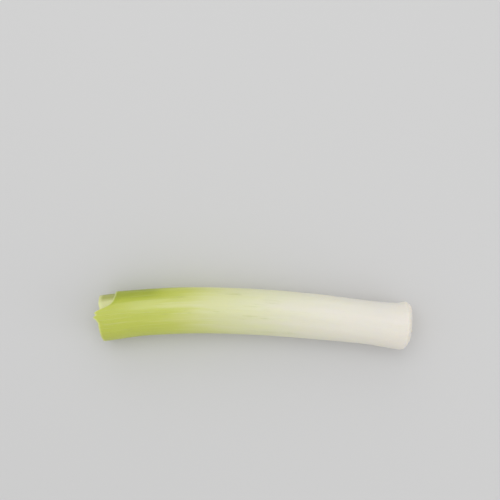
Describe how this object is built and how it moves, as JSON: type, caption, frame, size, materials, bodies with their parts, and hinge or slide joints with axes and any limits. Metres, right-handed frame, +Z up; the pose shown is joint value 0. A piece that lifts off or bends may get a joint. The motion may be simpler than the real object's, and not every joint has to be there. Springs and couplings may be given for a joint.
{
  "type": "leek",
  "caption": "Trimmed leek lying on its side: a slightly bowed shaft of nested tubular leaf bases, cut square at the leaf end, with cut root stubs on its basal plate.",
  "frame": {"origin": "on the resting surface, under the middle of the leek's overall box", "axes": "+X along the leek from the cut leaf end to the root end, +Z up, away from the resting surface; the shaft bows towards +Y"},
  "size_m": [0.1958, 0.0389, 0.0292],
  "materials": {
    "outer_leaf": "satin, smooth leaf skin with fine lengthwise veins, cream at the root end and yellow green at the leaf end",
    "inner_leaf": "moist cut leaf, pale green to pale yellow",
    "heart_leaf": "moist folded young leaf, pale yellow",
    "basal_plate": "dull cut stem, cream to light brown"
  },
  "bodies": {
    "root": {"outer_leaf": "outer_leaf", "inner_leaf_1": "inner_leaf", "inner_leaf_2": "inner_leaf", "inner_leaf_3": "inner_leaf", "inner_leaf_4": "inner_leaf", "inner_leaf_5": "inner_leaf", "inner_leaf_6": "inner_leaf", "folded_heart": "heart_leaf", "basal_plate": "basal_plate"}
  },
  "joints": []
}
